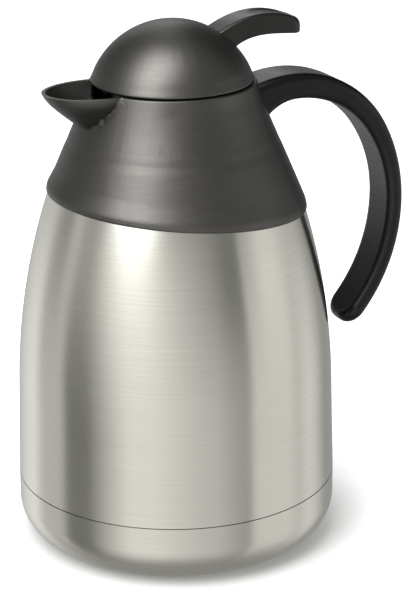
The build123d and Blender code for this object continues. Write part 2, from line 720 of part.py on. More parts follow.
lever_plane = Plane((pivot_x, 0, pivot_z), x_dir=(1, 0, 0), z_dir=(0, -1, 0))
with BuildPart() as thumb_lever:
    with BuildSketch(lever_plane) as blade:
        with BuildLine():
            crown = Spline(*crown_points)
            under = Spline(*under_points)
            Line(crown @ 1, under @ 0)
            Polyline(under @ 1, (crown_points[0][0], 0), crown @ 0)
        make_face()
        fillet(blade.vertices().sort_by_distance(crown_points[-1])[0], tip_round)
    extrude(amount=lever_half_w, both=True)
    # Round the blade's edges before the parts inside the dome join it
    fillet(thumb_lever.faces().filter_by(Axis.Y).edges().sort_by(Axis.Z)[-4:], crown_round)
    flank_curves = thumb_lever.faces().filter_by(Axis.Y).edges().filter_by(GeomType.BSPLINE)
    fillet(flank_curves.group_by(Axis.Z)[0], under_round)
    scoop_x = (crown_points[2][0] + crown_points[3][0]) / 2
    scoop_z = (crown_points[2][1] + crown_points[3][1]) / 2 + scoop_r - scoop_depth
    scoop_fall = crown_points[3][1] - crown_points[2][1]
    scoop_run = (crown_points[3][0] - crown_points[2][0], 0, scoop_fall)
    with Locations(Plane((pivot_x + scoop_x, 0, pivot_z + scoop_z), z_dir=scoop_run)):
        Cylinder(scoop_r, 2 * crown_points[-1][0], mode=Mode.SUBTRACT)
    with BuildSketch(lever_plane):
        Circle(hub_lever_r)
    extrude(amount=lever_half_w, both=True)
    with BuildSketch(lever_plane):
        Circle(drum_r)
        Rectangle(drum_r, 2 * hub_lever_r, align=(Align.MIN, Align.CENTER), mode=Mode.INTERSECT)
    extrude(amount=lever_half_w, both=True)
    with BuildSketch(lever_plane):
        with BuildLine():
            CenterArc((0, 0), guard_r, guard_start, guard_arc)
            CenterArc((0, 0), guard_r - guard_t, guard_start, guard_arc)
            for angle in (guard_start, guard_start + guard_arc):
                across = cos(radians(angle))
                up = sin(radians(angle))
                inner_r = guard_r - guard_t
                Line((inner_r * across, inner_r * up), (guard_r * across, guard_r * up))
        make_face()
    extrude(amount=lever_half_w, both=True)
    for side in (-1, 1):
        arm_middle = stem_r + fork_gap + fork_t / 2
        arm_plane = Plane((pivot_x, side * arm_middle, pivot_z), x_dir=(1, 0, 0), z_dir=(0, -1, 0))
        for ends in (((-pivot_x, -nose_drop, nose_r), arm_elbow), (arm_elbow, (0, 0, hub_lever_r))):
            with BuildSketch(arm_plane):
                for centre_x, centre_z, end_r in ends:
                    with Locations((centre_x, centre_z)):
                        Circle(end_r)
                make_hull()
            extrude(amount=fork_t / 2, both=True)
    with Locations(Plane((pivot_x, 0, pivot_z), z_dir=(0, 1, 0))):
        Cylinder(pin_r + screw_fit, 4 * lever_half_w, mode=Mode.SUBTRACT)

with BuildPart() as lever_pin:
    with Locations(Plane((pivot_x, 0, pivot_z), z_dir=(0, 1, 0))):
        Cylinder(pin_r, 2 * (ear_inner_y + ear_t))
    chamfer(lever_pin.edges(), pin_r * 0.2)

# ---- Valve ----

with BuildPart() as valve_stem:
    with BuildSketch(Plane.XZ):
        with BuildLine():
            Polyline(
                (0, seat_top_z - stem_button_h),
                (stem_button_r, seat_top_z - stem_button_h),
                (stem_button_r, seat_top_z),
                (stem_r, seat_top_z),
                (stem_r, stem_flange_z),
                (stem_flange_r, stem_flange_z),
                (stem_flange_r, stem_flange_z + stem_flange_h),
                (stem_r, stem_flange_z + stem_flange_h),
                (stem_r, spring_foot_z - spring_seat_h),
                (spring_seat_r, spring_foot_z - spring_seat_h),
                (spring_seat_r, spring_foot_z),
                (stem_r, spring_foot_z),
                (stem_r, yoke_z + yoke_h + nut_h + stem_end),
                (0, yoke_z + yoke_h + nut_h + stem_end),
                close=True,
            )
        make_face()
    revolve(axis=Axis.Z)
    chamfer(valve_stem.edges().sort_by(Axis.Z)[-1], stem_r * 0.2)

with BuildPart() as valve_seal:
    with BuildSketch(Plane.XY.offset(seat_top_z)):
        Circle(seal_disc_r)
        Circle(stem_hole_r, mode=Mode.SUBTRACT)
    extrude(amount=seal_disc_h)
    fillet(valve_seal.edges().group_by(Axis.Z)[-1].sort_by(SortBy.LENGTH)[-1], seal_disc_h * 0.3)

with BuildPart() as valve_spring:
    with BuildLine() as spring_path:
        spring_rise = hub_foot_z - spring_foot_z - 2 * spring_wire_r
        spring_start = (0, 0, spring_foot_z + spring_wire_r)
        Helix(spring_rise / spring_turns, spring_rise, spring_r, center=spring_start)
    with BuildSketch(Plane(spring_path.line @ 0, x_dir=(1, 0, 0), z_dir=spring_path.line % 0)):
        Circle(spring_wire_r)
    sweep(path=spring_path.line, is_frenet=True)

with BuildPart() as lever_yoke:
    with BuildSketch(Plane.XY.offset(yoke_z)):
        Circle(yoke_r)
        Circle(stem_hole_r, mode=Mode.SUBTRACT)
    extrude(amount=yoke_h)
    fillet(lever_yoke.edges().group_by(SortBy.LENGTH)[-1], yoke_h * 0.25)

with BuildPart() as stem_nut:
    with BuildSketch(Plane.XY.offset(yoke_z + yoke_h)):
        RegularPolygon(nut_flats / 2, 6, major_radius=False)
        Circle(stem_hole_r, mode=Mode.SUBTRACT)
    extrude(amount=nut_h)

save(outer_shell.part, "outer_shell")
save(base_cup.part, "base_cup")
save(inner_liner.part, "inner_liner")
save(vacuum_floor.part, "vacuum_floor")
save(vacuum_seal.part, "vacuum_seal")
save(getter.part, "getter")
save(collar.part, "collar")
save(neck_gasket.part, "neck_gasket")
save(throat_ring.part, "throat_ring")
save(handle.part, "handle")
save(handle_screws.part, "handle_screws")
save(stopper_body.part, "stopper_body")
save(stopper_foam.part, "stopper_foam")
save(stopper_cap.part, "stopper_cap")
save(stopper_gasket.part, "stopper_gasket")
save(stopper_plate.part, "stopper_plate")
save(stem_seal.part, "stem_seal")
save(plate_screws.part, "plate_screws")
save(lid_dome.part, "lid_dome")
save(dome_screws.part, "dome_screws")
save(thumb_lever.part, "thumb_lever")
save(lever_pin.part, "lever_pin")
save(valve_stem.part, "valve_stem")
save(valve_seal.part, "valve_seal")
save(valve_spring.part, "valve_spring")
save(lever_yoke.part, "lever_yoke")
save(stem_nut.part, "stem_nut")
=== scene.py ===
import json
from math import atan2, cos, degrees, exp, pi, radians, sin

import bmesh
import bpy
from mathutils import Matrix, Vector


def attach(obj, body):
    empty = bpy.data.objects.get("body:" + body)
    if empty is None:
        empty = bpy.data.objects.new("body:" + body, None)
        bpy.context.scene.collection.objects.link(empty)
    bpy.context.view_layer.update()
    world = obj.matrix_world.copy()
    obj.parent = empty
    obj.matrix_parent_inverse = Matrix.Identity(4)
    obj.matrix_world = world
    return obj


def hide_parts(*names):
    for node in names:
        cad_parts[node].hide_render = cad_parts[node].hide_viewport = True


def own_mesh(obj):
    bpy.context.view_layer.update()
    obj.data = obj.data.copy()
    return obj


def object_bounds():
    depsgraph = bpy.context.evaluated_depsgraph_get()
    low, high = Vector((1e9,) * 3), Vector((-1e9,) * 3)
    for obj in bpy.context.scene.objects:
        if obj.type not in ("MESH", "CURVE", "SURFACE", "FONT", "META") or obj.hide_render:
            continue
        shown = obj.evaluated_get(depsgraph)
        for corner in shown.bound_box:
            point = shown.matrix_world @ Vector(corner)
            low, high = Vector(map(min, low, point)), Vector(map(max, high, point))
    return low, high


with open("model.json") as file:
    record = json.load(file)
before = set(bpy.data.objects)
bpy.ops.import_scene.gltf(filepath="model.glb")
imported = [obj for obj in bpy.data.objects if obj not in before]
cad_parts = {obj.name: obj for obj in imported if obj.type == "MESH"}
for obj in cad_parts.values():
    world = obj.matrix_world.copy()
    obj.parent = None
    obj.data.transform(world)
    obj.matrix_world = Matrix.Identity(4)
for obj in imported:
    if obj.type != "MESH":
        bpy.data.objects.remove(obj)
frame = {"nodes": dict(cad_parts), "record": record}
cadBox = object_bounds()
nodes = frame["nodes"]
scene = bpy.context.scene
print("frame loaded:", len(nodes), "nodes")


# camera

# three quarter view onto the spout side, slightly from above
cameraSetup = {
    "place": (-0.36859, -0.81256, 0.42923),
    "looksAlong": (0.401408, 0.850083, -0.340924),
    "roll": 0.318,           # degrees, clockwise
    "focalLength": 130.74,
    "near": 0.05,
    "far": 20.0,
}


def addCamera(setup):
    data = bpy.data.cameras.new("studioCamera")
    data.lens = setup["focalLength"]
    data.clip_start = setup["near"]
    data.clip_end = setup["far"]
    camera = bpy.data.objects.new("studioCamera", data)
    scene.collection.objects.link(camera)
    aim = Vector(setup["looksAlong"]).to_track_quat("-Z", "Y").to_matrix().to_4x4()
    turn = Matrix.Rotation(radians(-setup["roll"]), 4, "Z")
    camera.matrix_world = Matrix.Translation(setup["place"]) @ aim @ turn
    scene.camera = camera


addCamera(cameraSetup)
print("camera placed")


# node helpers

def addNode(tree, kind, **values):
    node = tree.nodes.new(kind)
    for name, value in values.items():
        setattr(node, name, value)
    return node


def connect(tree, source, target):
    tree.links.new(source, target)


# connects an output to a socket, or writes a plain value into it
def feed(tree, value, socket):
    if hasattr(value, "links"):
        connect(tree, value, socket)
    else:
        socket.default_value = value


def mathNode(tree, operation, *values):
    node = addNode(tree, "ShaderNodeMath", operation=operation)
    for value, socket in zip(values, node.inputs):
        feed(tree, value, socket)
    return node.outputs[0]


def addNoise(tree, place, scale, detail, roughness=0.5):
    noise = addNode(tree, "ShaderNodeTexNoise", noise_dimensions="3D")
    connect(tree, place, noise.inputs["Vector"])
    feed(tree, scale, noise.inputs["Scale"])
    noise.inputs["Detail"].default_value = detail
    noise.inputs["Roughness"].default_value = roughness
    return noise.outputs["Fac"]


# goes from the low value to the high one while the source crosses its own range
def rampValue(tree, source, low, high, sourceRange=(0.3, 0.7), kind="LINEAR"):
    ramp = addNode(tree, "ShaderNodeMapRange", data_type="FLOAT", clamp=True, interpolation_type=kind)
    ramp.inputs["From Min"].default_value = sourceRange[0]
    ramp.inputs["From Max"].default_value = sourceRange[1]
    ramp.inputs["To Min"].default_value = low
    ramp.inputs["To Max"].default_value = high
    connect(tree, source, ramp.inputs["Value"])
    return ramp.outputs["Result"]


def mixColour(tree, share, first, second):
    mix = addNode(tree, "ShaderNodeMix", data_type="RGBA")
    connect(tree, share, mix.inputs["Factor"])
    feed(tree, first, mix.inputs["A"])
    feed(tree, second, mix.inputs["B"])
    return mix.outputs["Result"]


def rampColour(tree, source, dark, light, sourceRange=(0.3, 0.7)):
    share = rampValue(tree, source, 0.0, 1.0, sourceRange)
    return mixColour(tree, share, (*dark, 1), (*light, 1))


def addBump(tree, shader, height, strength, distance):
    bump = addNode(tree, "ShaderNodeBump")
    bump.inputs["Strength"].default_value = strength
    bump.inputs["Distance"].default_value = distance
    connect(tree, height, bump.inputs["Height"])
    connect(tree, bump.outputs["Normal"], shader.inputs["Normal"])


# node groups

# inputs are (label, kind of socket, value), and every output is a plain number
def newGroup(name, inputs, outputs):
    group = bpy.data.node_groups.new(name, "ShaderNodeTree")
    for label, kind, value in inputs:
        socket = group.interface.new_socket(name=label, in_out="INPUT", socket_type=kind)
        if value is not None:
            socket.default_value = value
    for label in outputs:
        group.interface.new_socket(name=label, in_out="OUTPUT", socket_type="NodeSocketFloat")
    entry = addNode(group, "NodeGroupInput")
    leave = addNode(group, "NodeGroupOutput")
    return group, entry, leave


def placeGroup(tree, group, place, **values):
    node = addNode(tree, "ShaderNodeGroup", node_tree=group)
    connect(tree, place, node.inputs["Vector"])
    for label, value in values.items():
        node.inputs[label].default_value = value
    return node


# fine lines that run round the body, longer than they are high, and broad patches
def makeBrushGroup():
    inputs = (
        ("Vector", "NodeSocketVector", None),
        ("Length", "NodeSocketFloat", 6.0),         # waves per metre along a line
        ("Fineness", "NodeSocketFloat", 2600.0),    # waves per metre across the lines
    )
    group, entry, leave = newGroup("brushedLines", inputs, ("Lines", "Patches"))
    parts = addNode(group, "ShaderNodeSeparateXYZ")
    connect(group, entry.outputs["Vector"], parts.inputs[0])
    spread = addNode(group, "ShaderNodeCombineXYZ")
    for axis, waves in (("X", "Length"), ("Y", "Length"), ("Z", "Fineness")):
        stretched = mathNode(group, "MULTIPLY", parts.outputs[axis], entry.outputs[waves])
        connect(group, stretched, spread.inputs[axis])
    lines = addNoise(group, spread.outputs[0], scale=1.0, detail=3.0, roughness=0.65)
    patches = addNoise(group, entry.outputs["Vector"], scale=22.0, detail=2.0)
    connect(group, lines, leave.inputs["Lines"])
    connect(group, patches, leave.inputs["Patches"])
    return group


streakWaves = (80, 80, 1500)    # per metre along each axis: long and low, as on a turned mould


# spark-eroded grain of a moulded plastic, with faint flow patches and streaks
def makeGrainGroup():
    inputs = (
        ("Vector", "NodeSocketVector", None),
        ("Grain", "NodeSocketFloat", 1500.0),       # waves per metre
        ("Patch", "NodeSocketFloat", 30.0),
    )
    group, entry, leave = newGroup("mouldedGrain", inputs, ("Grain", "Patches", "Streaks"))
    place = entry.outputs["Vector"]
    spread = addNode(group, "ShaderNodeVectorMath", operation="MULTIPLY")
    connect(group, place, spread.inputs[0])
    spread.inputs[1].default_value = streakWaves
    grain = addNoise(group, place, scale=entry.outputs["Grain"], detail=2.0, roughness=0.6)
    patches = addNoise(group, place, scale=entry.outputs["Patch"], detail=3.0)
    streaks = addNoise(group, spread.outputs[0], scale=1.0, detail=3.0)
    connect(group, grain, leave.inputs["Grain"])
    connect(group, patches, leave.inputs["Patches"])
    connect(group, streaks, leave.inputs["Streaks"])
    return group


brushGroup = makeBrushGroup()
grainGroup = makeGrainGroup()


# materials

def newMaterial(name):
    material = bpy.data.materials.new(name)
    material.use_nodes = True
    tree = material.node_tree
    tree.nodes.clear()
    output = addNode(tree, "ShaderNodeOutputMaterial")
    shader = addNode(tree, "ShaderNodeBsdfPrincipled")
    connect(tree, shader.outputs[0], output.inputs["Surface"])
    coordinates = addNode(tree, "ShaderNodeTexCoord")
    return material, tree, shader, coordinates.outputs["Object"]


brushTurn = 0.25    # a quarter turn for the stretched highlights


def makeSteel(name, look):
    material, tree, shader, place = newMaterial(name)
    brush = placeGroup(tree, brushGroup, place, Length=look["length"], Fineness=look["fineness"])
    colour = rampColour(tree, brush.outputs["Lines"], look["dark"], look["light"])
    connect(tree, colour, shader.inputs["Base Color"])
    rough = rampValue(tree, brush.outputs["Patches"], look["smooth"], look["rough"])
    connect(tree, rough, shader.inputs["Roughness"])
    shader.inputs["Metallic"].default_value = 1.0
    shader.inputs["Anisotropic"].default_value = look["anisotropy"]
    shader.inputs["Anisotropic Rotation"].default_value = brushTurn
    addBump(tree, shader, brush.outputs["Lines"], look["bump"], look["depth"])
    return material


# what streaks and patches do to the gloss of a moulding, and how it dims seen from the side
mouldGloss = {"streaks": (0.35, 0.65), "dullest": 0.88, "rimBlend": 0.5, "rimFade": (0.10, 0.50)}


def makePlastic(name, look):
    material, tree, shader, place = newMaterial(name)
    mould = placeGroup(tree, grainGroup, place, Grain=look["grain"], Patch=look["patch"])
    colour = rampColour(tree, mould.outputs["Patches"], look["dark"], look["light"])
    connect(tree, colour, shader.inputs["Base Color"])
    streaks = mould.outputs["Streaks"]
    rough = rampValue(tree, streaks, look["smooth"], look["rough"], mouldGloss["streaks"])
    connect(tree, rough, shader.inputs["Roughness"])
    dull = look["specular"] * mouldGloss["dullest"]
    level = rampValue(tree, mould.outputs["Patches"], dull, look["specular"])
    connect(tree, level, shader.inputs["Specular IOR Level"])
    shader.inputs["IOR"].default_value = look["ior"]
    facing = addNode(tree, "ShaderNodeLayerWeight")
    facing.inputs["Blend"].default_value = mouldGloss["rimBlend"]
    rimTint = [value * look["rim"] for value in look["tint"]]
    tint = rampColour(tree, facing.outputs["Facing"], look["tint"], rimTint, mouldGloss["rimFade"])
    connect(tree, tint, shader.inputs["Specular Tint"])
    addBump(tree, shader, mould.outputs["Grain"], look["bump"], look["depth"])
    return material


steelLook = {
    "dark": (0.64, 0.628, 0.565), "light": (0.70, 0.688, 0.62),
    "length": 14.0, "fineness": 4200.0,
    "smooth": 0.19, "rough": 0.24, "anisotropy": 0.75,
    "bump": 0.08, "depth": 0.00003,
}
linerLook = {
    "dark": (0.60, 0.59, 0.57), "light": (0.68, 0.67, 0.65),
    "length": 8.0, "fineness": 900.0,
    "smooth": 0.22, "rough": 0.30, "anisotropy": 0.3,
    "bump": 0.15, "depth": 0.00004,
}
screwLook = {
    "dark": (0.50, 0.50, 0.50), "light": (0.62, 0.62, 0.62),
    "length": 200.0, "fineness": 900.0,
    "smooth": 0.25, "rough": 0.38, "anisotropy": 0.0,
    "bump": 0.2, "depth": 0.00003,
}
collarLook = {
    "dark": (0.007, 0.0068, 0.0062), "light": (0.011, 0.0106, 0.0098),
    "grain": 1400.0, "patch": 28.0, "smooth": 0.375, "rough": 0.425, "ior": 1.66, "specular": 1.0,
    "tint": (1.0, 0.975, 0.915), "rim": 0.48,
    "bump": 0.25, "depth": 0.00006,
}
handleLook = {
    "dark": (0.002, 0.002, 0.002), "light": (0.003, 0.003, 0.003),
    "grain": 1800.0, "patch": 40.0, "smooth": 0.26, "rough": 0.34, "ior": 1.45, "specular": 0.5,
    "tint": (1.0, 1.0, 0.97), "rim": 0.5,
    "bump": 0.12, "depth": 0.00004,
}
leverLook = {
    "dark": (0.003, 0.003, 0.003), "light": (0.005, 0.005, 0.005),
    "grain": 1600.0, "patch": 60.0, "smooth": 0.30, "rough": 0.38, "ior": 1.5, "specular": 0.6,
    "tint": (1.0, 0.985, 0.94), "rim": 1.0,
    "bump": 0.15, "depth": 0.00005,
}
innerPlasticLook = {
    "dark": (0.016, 0.016, 0.016), "light": (0.023, 0.023, 0.023),
    "grain": 1300.0, "patch": 35.0, "smooth": 0.38, "rough": 0.48, "ior": 1.48, "specular": 0.5,
    "tint": (1.0, 1.0, 1.0), "rim": 1.0,
    "bump": 0.2, "depth": 0.00005,
}
siliconeLook = {
    "dark": (0.36, 0.36, 0.35), "light": (0.46, 0.46, 0.45),
    "grain": 900.0, "patch": 60.0, "smooth": 0.5, "rough": 0.62, "ior": 1.42, "specular": 0.5,
    "tint": (1.0, 1.0, 1.0), "rim": 1.0,
    "bump": 0.15, "depth": 0.00004,
}
foamLook = {
    "dark": (0.70, 0.67, 0.58), "light": (0.80, 0.78, 0.70),
    "grain": 500.0, "patch": 90.0, "smooth": 0.8, "rough": 0.95, "ior": 1.4, "specular": 0.5,
    "tint": (1.0, 1.0, 1.0), "rim": 1.0,
    "bump": 0.6, "depth": 0.0003,
}
solderLook = {
    "dark": (0.30, 0.30, 0.30), "light": (0.45, 0.45, 0.46),
    "length": 150.0, "fineness": 200.0,
    "smooth": 0.4, "rough": 0.6, "anisotropy": 0.0,
    "bump": 0.5, "depth": 0.0001,
}
blackScrewLook = {
    "dark": (0.020, 0.020, 0.021), "light": (0.032, 0.032, 0.034),
    "length": 200.0, "fineness": 900.0,
    "smooth": 0.35, "rough": 0.48, "anisotropy": 0.0,
    "bump": 0.2, "depth": 0.00003,
}
getterLook = {
    "dark": (0.12, 0.12, 0.125), "light": (0.22, 0.22, 0.225),
    "length": 900.0, "fineness": 900.0,
    "smooth": 0.6, "rough": 0.8, "anisotropy": 0.0,
    "bump": 0.5, "depth": 0.0001,
}

materials = {
    "steel": makeSteel("brushedSteel", steelLook),
    "liner_steel": makeSteel("satinLinerSteel", linerLook),
    "screw_steel": makeSteel("plainStainless", screwLook),
    "solder": makeSteel("dullSolder", solderLook),
    "getter_metal": makeSteel("sinteredMetal", getterLook),
    "blackScrew": makeSteel("blackScrewSteel", blackScrewLook),
    "collar_plastic": makePlastic("collarPlastic", collarLook),
    "handle_plastic": makePlastic("handlePlastic", handleLook),
    "leverPlastic": makePlastic("leverPlastic", leverLook),
    "black_plastic": makePlastic("innerBlackPlastic", innerPlasticLook),
    "silicone": makePlastic("greySilicone", siliconeLook),
    "foam": makePlastic("insulationFoam", foamLook),
}


ownFinish = {"dome_screws": "blackScrew", "plate_screws": "blackScrew"}    # others take their slot's
for part in frame["record"]["subparts"]:
    piece = nodes[part["node"]]
    slot = part["material_slot"]
    piece.data.materials.clear()
    piece.data.materials.append(materials[ownFinish.get(part["node"], slot)])
print("materials made:", len(materials))


# finer pieces

meshCare = {"merge": 0.000001, "thin": 0.0000005}    # points this close are one, edges this short go


def cleanMesh(bm, merge, thin):
    bmesh.ops.remove_doubles(bm, verts=bm.verts, dist=merge)
    bmesh.ops.dissolve_degenerate(bm, dist=thin, edges=bm.edges)


def meshOf(name):
    bm = bmesh.new()
    bm.from_mesh(nodes[name].data)
    cleanMesh(bm, meshCare["merge"], meshCare["thin"])
    return bm


def finishPiece(bm, name, node, body, slot, smoothAngle, finish=None):
    mesh = bpy.data.meshes.new(name)
    bm.to_mesh(mesh)
    bm.free()
    mesh.shade_smooth()
    mesh.set_sharp_from_angle(angle=radians(smoothAngle))
    mesh.materials.append(materials[finish or slot])
    piece = bpy.data.objects.new(name, mesh)
    scene.collection.objects.link(piece)
    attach(piece, body)
    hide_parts(node)
    evenNormals = piece.modifiers.new("evenNormals", "WEIGHTED_NORMAL")
    evenNormals.mode = "FACE_AREA_WITH_ANGLE"
    evenNormals.keep_sharp = True
    return piece


def cornersOf(faces):
    return {vert for face in faces for vert in face.verts}


# cuts a loop through the faces at each distance along the axis
def cutLoops(bm, faces, distances, axis, normal=None):
    for distance in distances:
        edges = {edge for face in faces for edge in face.edges}
        cut = bmesh.ops.bisect_plane(
            bm, geom=[*cornersOf(faces), *edges, *faces], dist=meshCare["thin"],
            plane_co=Vector(axis) * distance, plane_no=normal or axis,
        )
        faces = [item for item in cut["geom"] if isinstance(item, bmesh.types.BMFace)]
    return faces


def loopsAround(height, step, eachSide):
    return [height + index * step for index in range(-eachSide, eachSide + 1)]


# faces that point away from the axis, with every corner where it is wanted
def outerFaces(bm, wanted):
    return [
        face for face in bm.faces
        if all(wanted(vert.co) for vert in face.verts)
        and face.normal.xy.dot(face.calc_center_median().xy) > 0
    ]


# degrees round the axis, either way, from the handle's side
def turnOf(place):
    return abs(degrees(atan2(place.y, place.x)))


def smoothStep(value, low, high):
    share = min(max((value - low) / (high - low), 0.0), 1.0)
    return share * share * (3 - 2 * share)


# depth of a shallow groove round the piece
def grooveDepth(height, groove):
    return groove["depth"] * exp(-((height - groove["height"]) / groove["width"]) ** 2)


collarShape = {
    "coneHeight": 0.168, "coneRadius": 0.04976, "coneSlope": 0.425, "coneReach": 0.0009,
    "crease": {"height": 0.1784, "width": 0.0021, "depth": 0.00016},
    "neck": {"height": 0.1990, "width": 0.0030, "depth": 0.00020},
    "grooveStep": 0.0007, "grooveLoops": 7,
    "edgeHeight": 0.1526, "edgeSlope": 0.087, "edgeReach": 0.012,    # the slanted lower edge
    "edgeStep": 0.00025, "edgeLoops": 20,
    "bandHeight": 0.0021, "bandTurn": 0.48, "softness": 0.0019,      # the band's upper corner
    "lipHeight": 0.0008, "lip": 0.0003,
    "footRadius": 0.05588, "footLean": 0.0264,
    # the grooves fade out over these angles and heights
    "handleFade": (12, 22), "spoutFade": (132, 146), "spoutRise": (0.182, 0.185),
    "spoutHeight": 0.184, "spoutLean": 1500,                         # degrees per metre of height
    "smoothAngle": 28,
}


def makeCollar(shape):
    bm = meshOf("collar")
    low = shape["edgeHeight"]
    crease, neck = shape["crease"], shape["neck"]

    def coneRadius(height):
        return shape["coneRadius"] - shape["coneSlope"] * (height - shape["coneHeight"])

    def aboveEdge(place):
        return place.z - low + shape["edgeSlope"] * place.x

    def outside(place):
        if aboveEdge(place) < shape["edgeReach"]:
            foot = shape["footRadius"] + shape["footLean"] * place.x
            return place.xy.length > min(coneRadius(place.z), foot) - shape["coneReach"]
        return abs(place.xy.length - coneRadius(place.z)) < shape["coneReach"]

    skin = outerFaces(bm, outside)
    for groove in (crease, neck):
        loops = loopsAround(groove["height"], shape["grooveStep"], shape["grooveLoops"])
        skin = cutLoops(bm, skin, loops, (0, 0, 1))
    edgeNormal = Vector((shape["edgeSlope"], 0, 1)).normalized()
    edgeLoops = [low + (index + 1) * shape["edgeStep"] for index in range(shape["edgeLoops"])]
    skin = cutLoops(bm, skin, edgeLoops, (0, 0, 1), edgeNormal)
    for vert in cornersOf(skin):
        place = vert.co
        radius = place.xy.length
        turn = turnOf(place)
        lean = shape["spoutLean"] * (place.z - shape["spoutHeight"])
        nearSpout = smoothStep(turn + lean, *shape["spoutFade"])
        nearSpout *= smoothStep(place.z, *shape["spoutRise"])
        clear = smoothStep(turn, *shape["handleFade"]) * (1 - nearSpout)
        fresh = radius - clear * (grooveDepth(place.z, crease) + grooveDepth(place.z, neck))
        # soften the corner above the upright lower edge, and round the edge itself
        height = aboveEdge(place)
        near = max(shape["softness"] - abs(height - shape["bandHeight"]), 0.0)
        fresh -= shape["bandTurn"] * near * near / (4 * shape["softness"])
        fresh -= shape["lip"] * max(1 - height / shape["lipHeight"], 0.0) ** 2
        place.xy *= fresh / radius
    finishPiece(bm, "collarSkin", "collar", "vessel", "collar_plastic", shape["smoothAngle"])


domeShape = {
    "skirt": {"height": 0.2077, "width": 0.0017, "depth": 0.00012},
    "grooveStep": 0.0006, "grooveLoops": 5,
    "skinFoot": 0.2051, "skinTop": 0.2180, "innerRadius": 0.0290,
    "handleFade": (10, 18),
    "smoothAngle": 28,
}


def makeDome(shape):
    bm = meshOf("lid_dome")
    skirt = shape["skirt"]

    def onSkirt(place):
        return shape["skinFoot"] < place.z < shape["skinTop"] and place.xy.length > shape["innerRadius"]

    loops = loopsAround(skirt["height"], shape["grooveStep"], shape["grooveLoops"])
    skin = cutLoops(bm, outerFaces(bm, onSkirt), loops, (0, 0, 1))
    for vert in cornersOf(skin):
        place = vert.co
        clear = smoothStep(turnOf(place), *shape["handleFade"])
        place.xy *= 1 - clear * grooveDepth(place.z, skirt) / place.xy.length
    finishPiece(bm, "lidDome", "lid_dome", "lid", "collar_plastic", shape["smoothAngle"])


leverShape = {
    "top": 0.22978, "middle": 0.0385, "rise": (0.39, -1.346, -0.01),    # mm of height for cm of run
    "crownStart": 0.0184, "crownReach": 0.0048, "crownFacing": 0.1,
    "root": (0.0187, 0.0190), "tip": (0.0520, 0.0560),
    "halfWidth": 0.007, "sideReach": 0.00699, "edgeStart": 0.0056, "edgeDrop": 0.0009,
    "dish": {"x": 0.0450, "halfLength": 0.0115, "halfWidth": 0.0056, "depth": 0.0009},
    "firstLoop": 0.0190, "loopStep": 0.001, "alongLoops": 38,
    "acrossLoops": (0.0012, 0.0024, 0.0035, 0.0045, 0.0053, 0.0059, 0.0064, 0.0067, 0.0069),
    "merge": 0.000003, "thin": 0.000001,
    "smoothAngle": 28,
}


def makeLever(shape):
    bm = meshOf("thumb_lever")
    dish = shape["dish"]

    def crownHeight(x):
        run = (x - shape["middle"]) * 100
        first, second, third = shape["rise"]
        return shape["top"] + 0.001 * (first * run + second * run * run + third * run ** 3)

    def onCrown(face):
        if face.normal.z <= shape["crownFacing"] or face.calc_center_median().x <= shape["crownStart"]:
            return False
        return all(vert.co.z > crownHeight(vert.co.x) - shape["crownReach"] for vert in face.verts)

    crown = [face for face in bm.faces if onCrown(face)]
    lengths = [shape["firstLoop"] + index * shape["loopStep"] for index in range(shape["alongLoops"])]
    widths = [0.0] + [side * y for y in shape["acrossLoops"] for side in (-1, 1)]
    crown = cutLoops(bm, crown, lengths, (1, 0, 0))
    crown = cutLoops(bm, crown, widths, (0, 1, 0))
    for vert in cornersOf(crown):
        place = vert.co
        if abs(place.y) > shape["sideReach"]:
            continue
        blend = smoothStep(place.x, *shape["root"]) * (1 - smoothStep(place.x, *shape["tip"]))
        edge = max(abs(place.y) - shape["edgeStart"], 0.0) / (shape["halfWidth"] - shape["edgeStart"])
        along = (place.x - dish["x"]) / dish["halfLength"]
        inside = 1 - along ** 2 - (place.y / dish["halfWidth"]) ** 2
        hollow = dish["depth"] * smoothStep(inside, 0.0, 1.0)
        level = crownHeight(place.x) - shape["edgeDrop"] * edge * edge - hollow
        place.z += blend * (level - place.z)
    cleanMesh(bm, shape["merge"], shape["thin"])
    angle = shape["smoothAngle"]
    finishPiece(bm, "thumbLever", "thumb_lever", "lever", "handle_plastic", angle, "leverPlastic")


springShape = {
    "radius": 0.0056, "wire": 0.0005, "wireSides": 10,
    "turns": 6.5, "stepsPerTurn": 24,
    "low": 0.18380, "high": 0.19920,
    "keep": 0.665,                    # of its height when the valve is open
    "smoothAngle": 50,
}


def makeSpring(shape):
    bm = bmesh.new()
    ring = bmesh.ops.create_circle(bm, segments=shape["wireSides"], radius=shape["wire"])
    bmesh.ops.rotate(bm, verts=ring["verts"], cent=(0, 0, 0), matrix=Matrix.Rotation(pi / 2, 3, "X"))
    bmesh.ops.translate(bm, verts=ring["verts"], vec=(shape["radius"], 0, shape["low"] + shape["wire"]))
    steps = round(shape["turns"] * shape["stepsPerTurn"])
    climb = (shape["high"] - shape["low"] - 2 * shape["wire"]) / steps
    bmesh.ops.spin(
        bm, geom=bm.edges[:], cent=(0, 0, 0), axis=(0, 0, 1), dvec=(0, 0, climb),
        angle=2 * pi * shape["turns"], steps=steps,
    )
    bmesh.ops.holes_fill(bm, edges=bm.edges, sides=0)
    bmesh.ops.recalc_face_normals(bm, faces=bm.faces)
    angle = shape["smoothAngle"]
    spring = finishPiece(bm, "valveSpring", "valve_spring", "lid", "screw_steel", angle)
    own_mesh(spring)


makeCollar(collarShape)
makeDome(domeShape)
makeLever(leverShape)
makeSpring(springShape)
print("finer pieces made")


# studio

